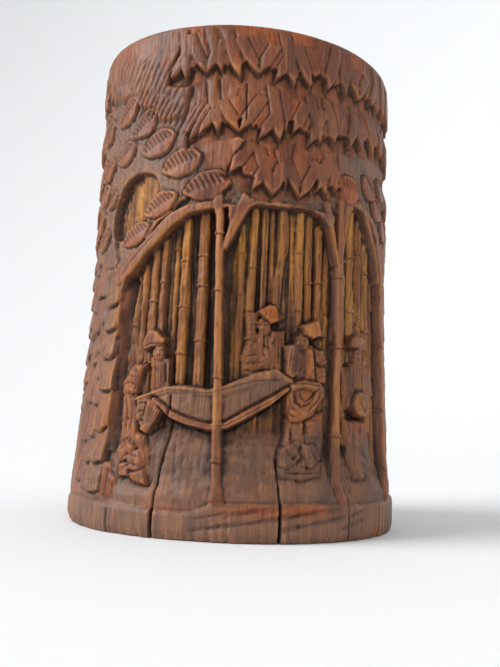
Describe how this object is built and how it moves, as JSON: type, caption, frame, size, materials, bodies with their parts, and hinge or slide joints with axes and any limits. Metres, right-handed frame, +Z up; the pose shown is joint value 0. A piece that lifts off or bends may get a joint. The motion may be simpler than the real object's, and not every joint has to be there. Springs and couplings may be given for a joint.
{
  "type": "brush pot",
  "caption": "Upright cylindrical bamboo brush pot with a grove scene carved in deep relief, a plain foot band and a let-in floor board.",
  "frame": {"origin": "centre of the foot ring, on the surface that the pot stands on", "axes": "+Z up the pot's axis; -Y out of the middle of the carved show face; +X to the viewer's right"},
  "size_m": [0.1144, 0.1144, 0.1616],
  "materials": {
    "carved_bamboo": "waxed, reddish brown patina over golden fibre",
    "floor_wood": "oiled, dark brown",
    "peg_bamboo": "raw end grain, toned"
  },
  "bodies": {
    "root": {"carved_wall": "carved_bamboo", "floor_disc": "floor_wood", "floor_pegs": "peg_bamboo"}
  },
  "joints": []
}
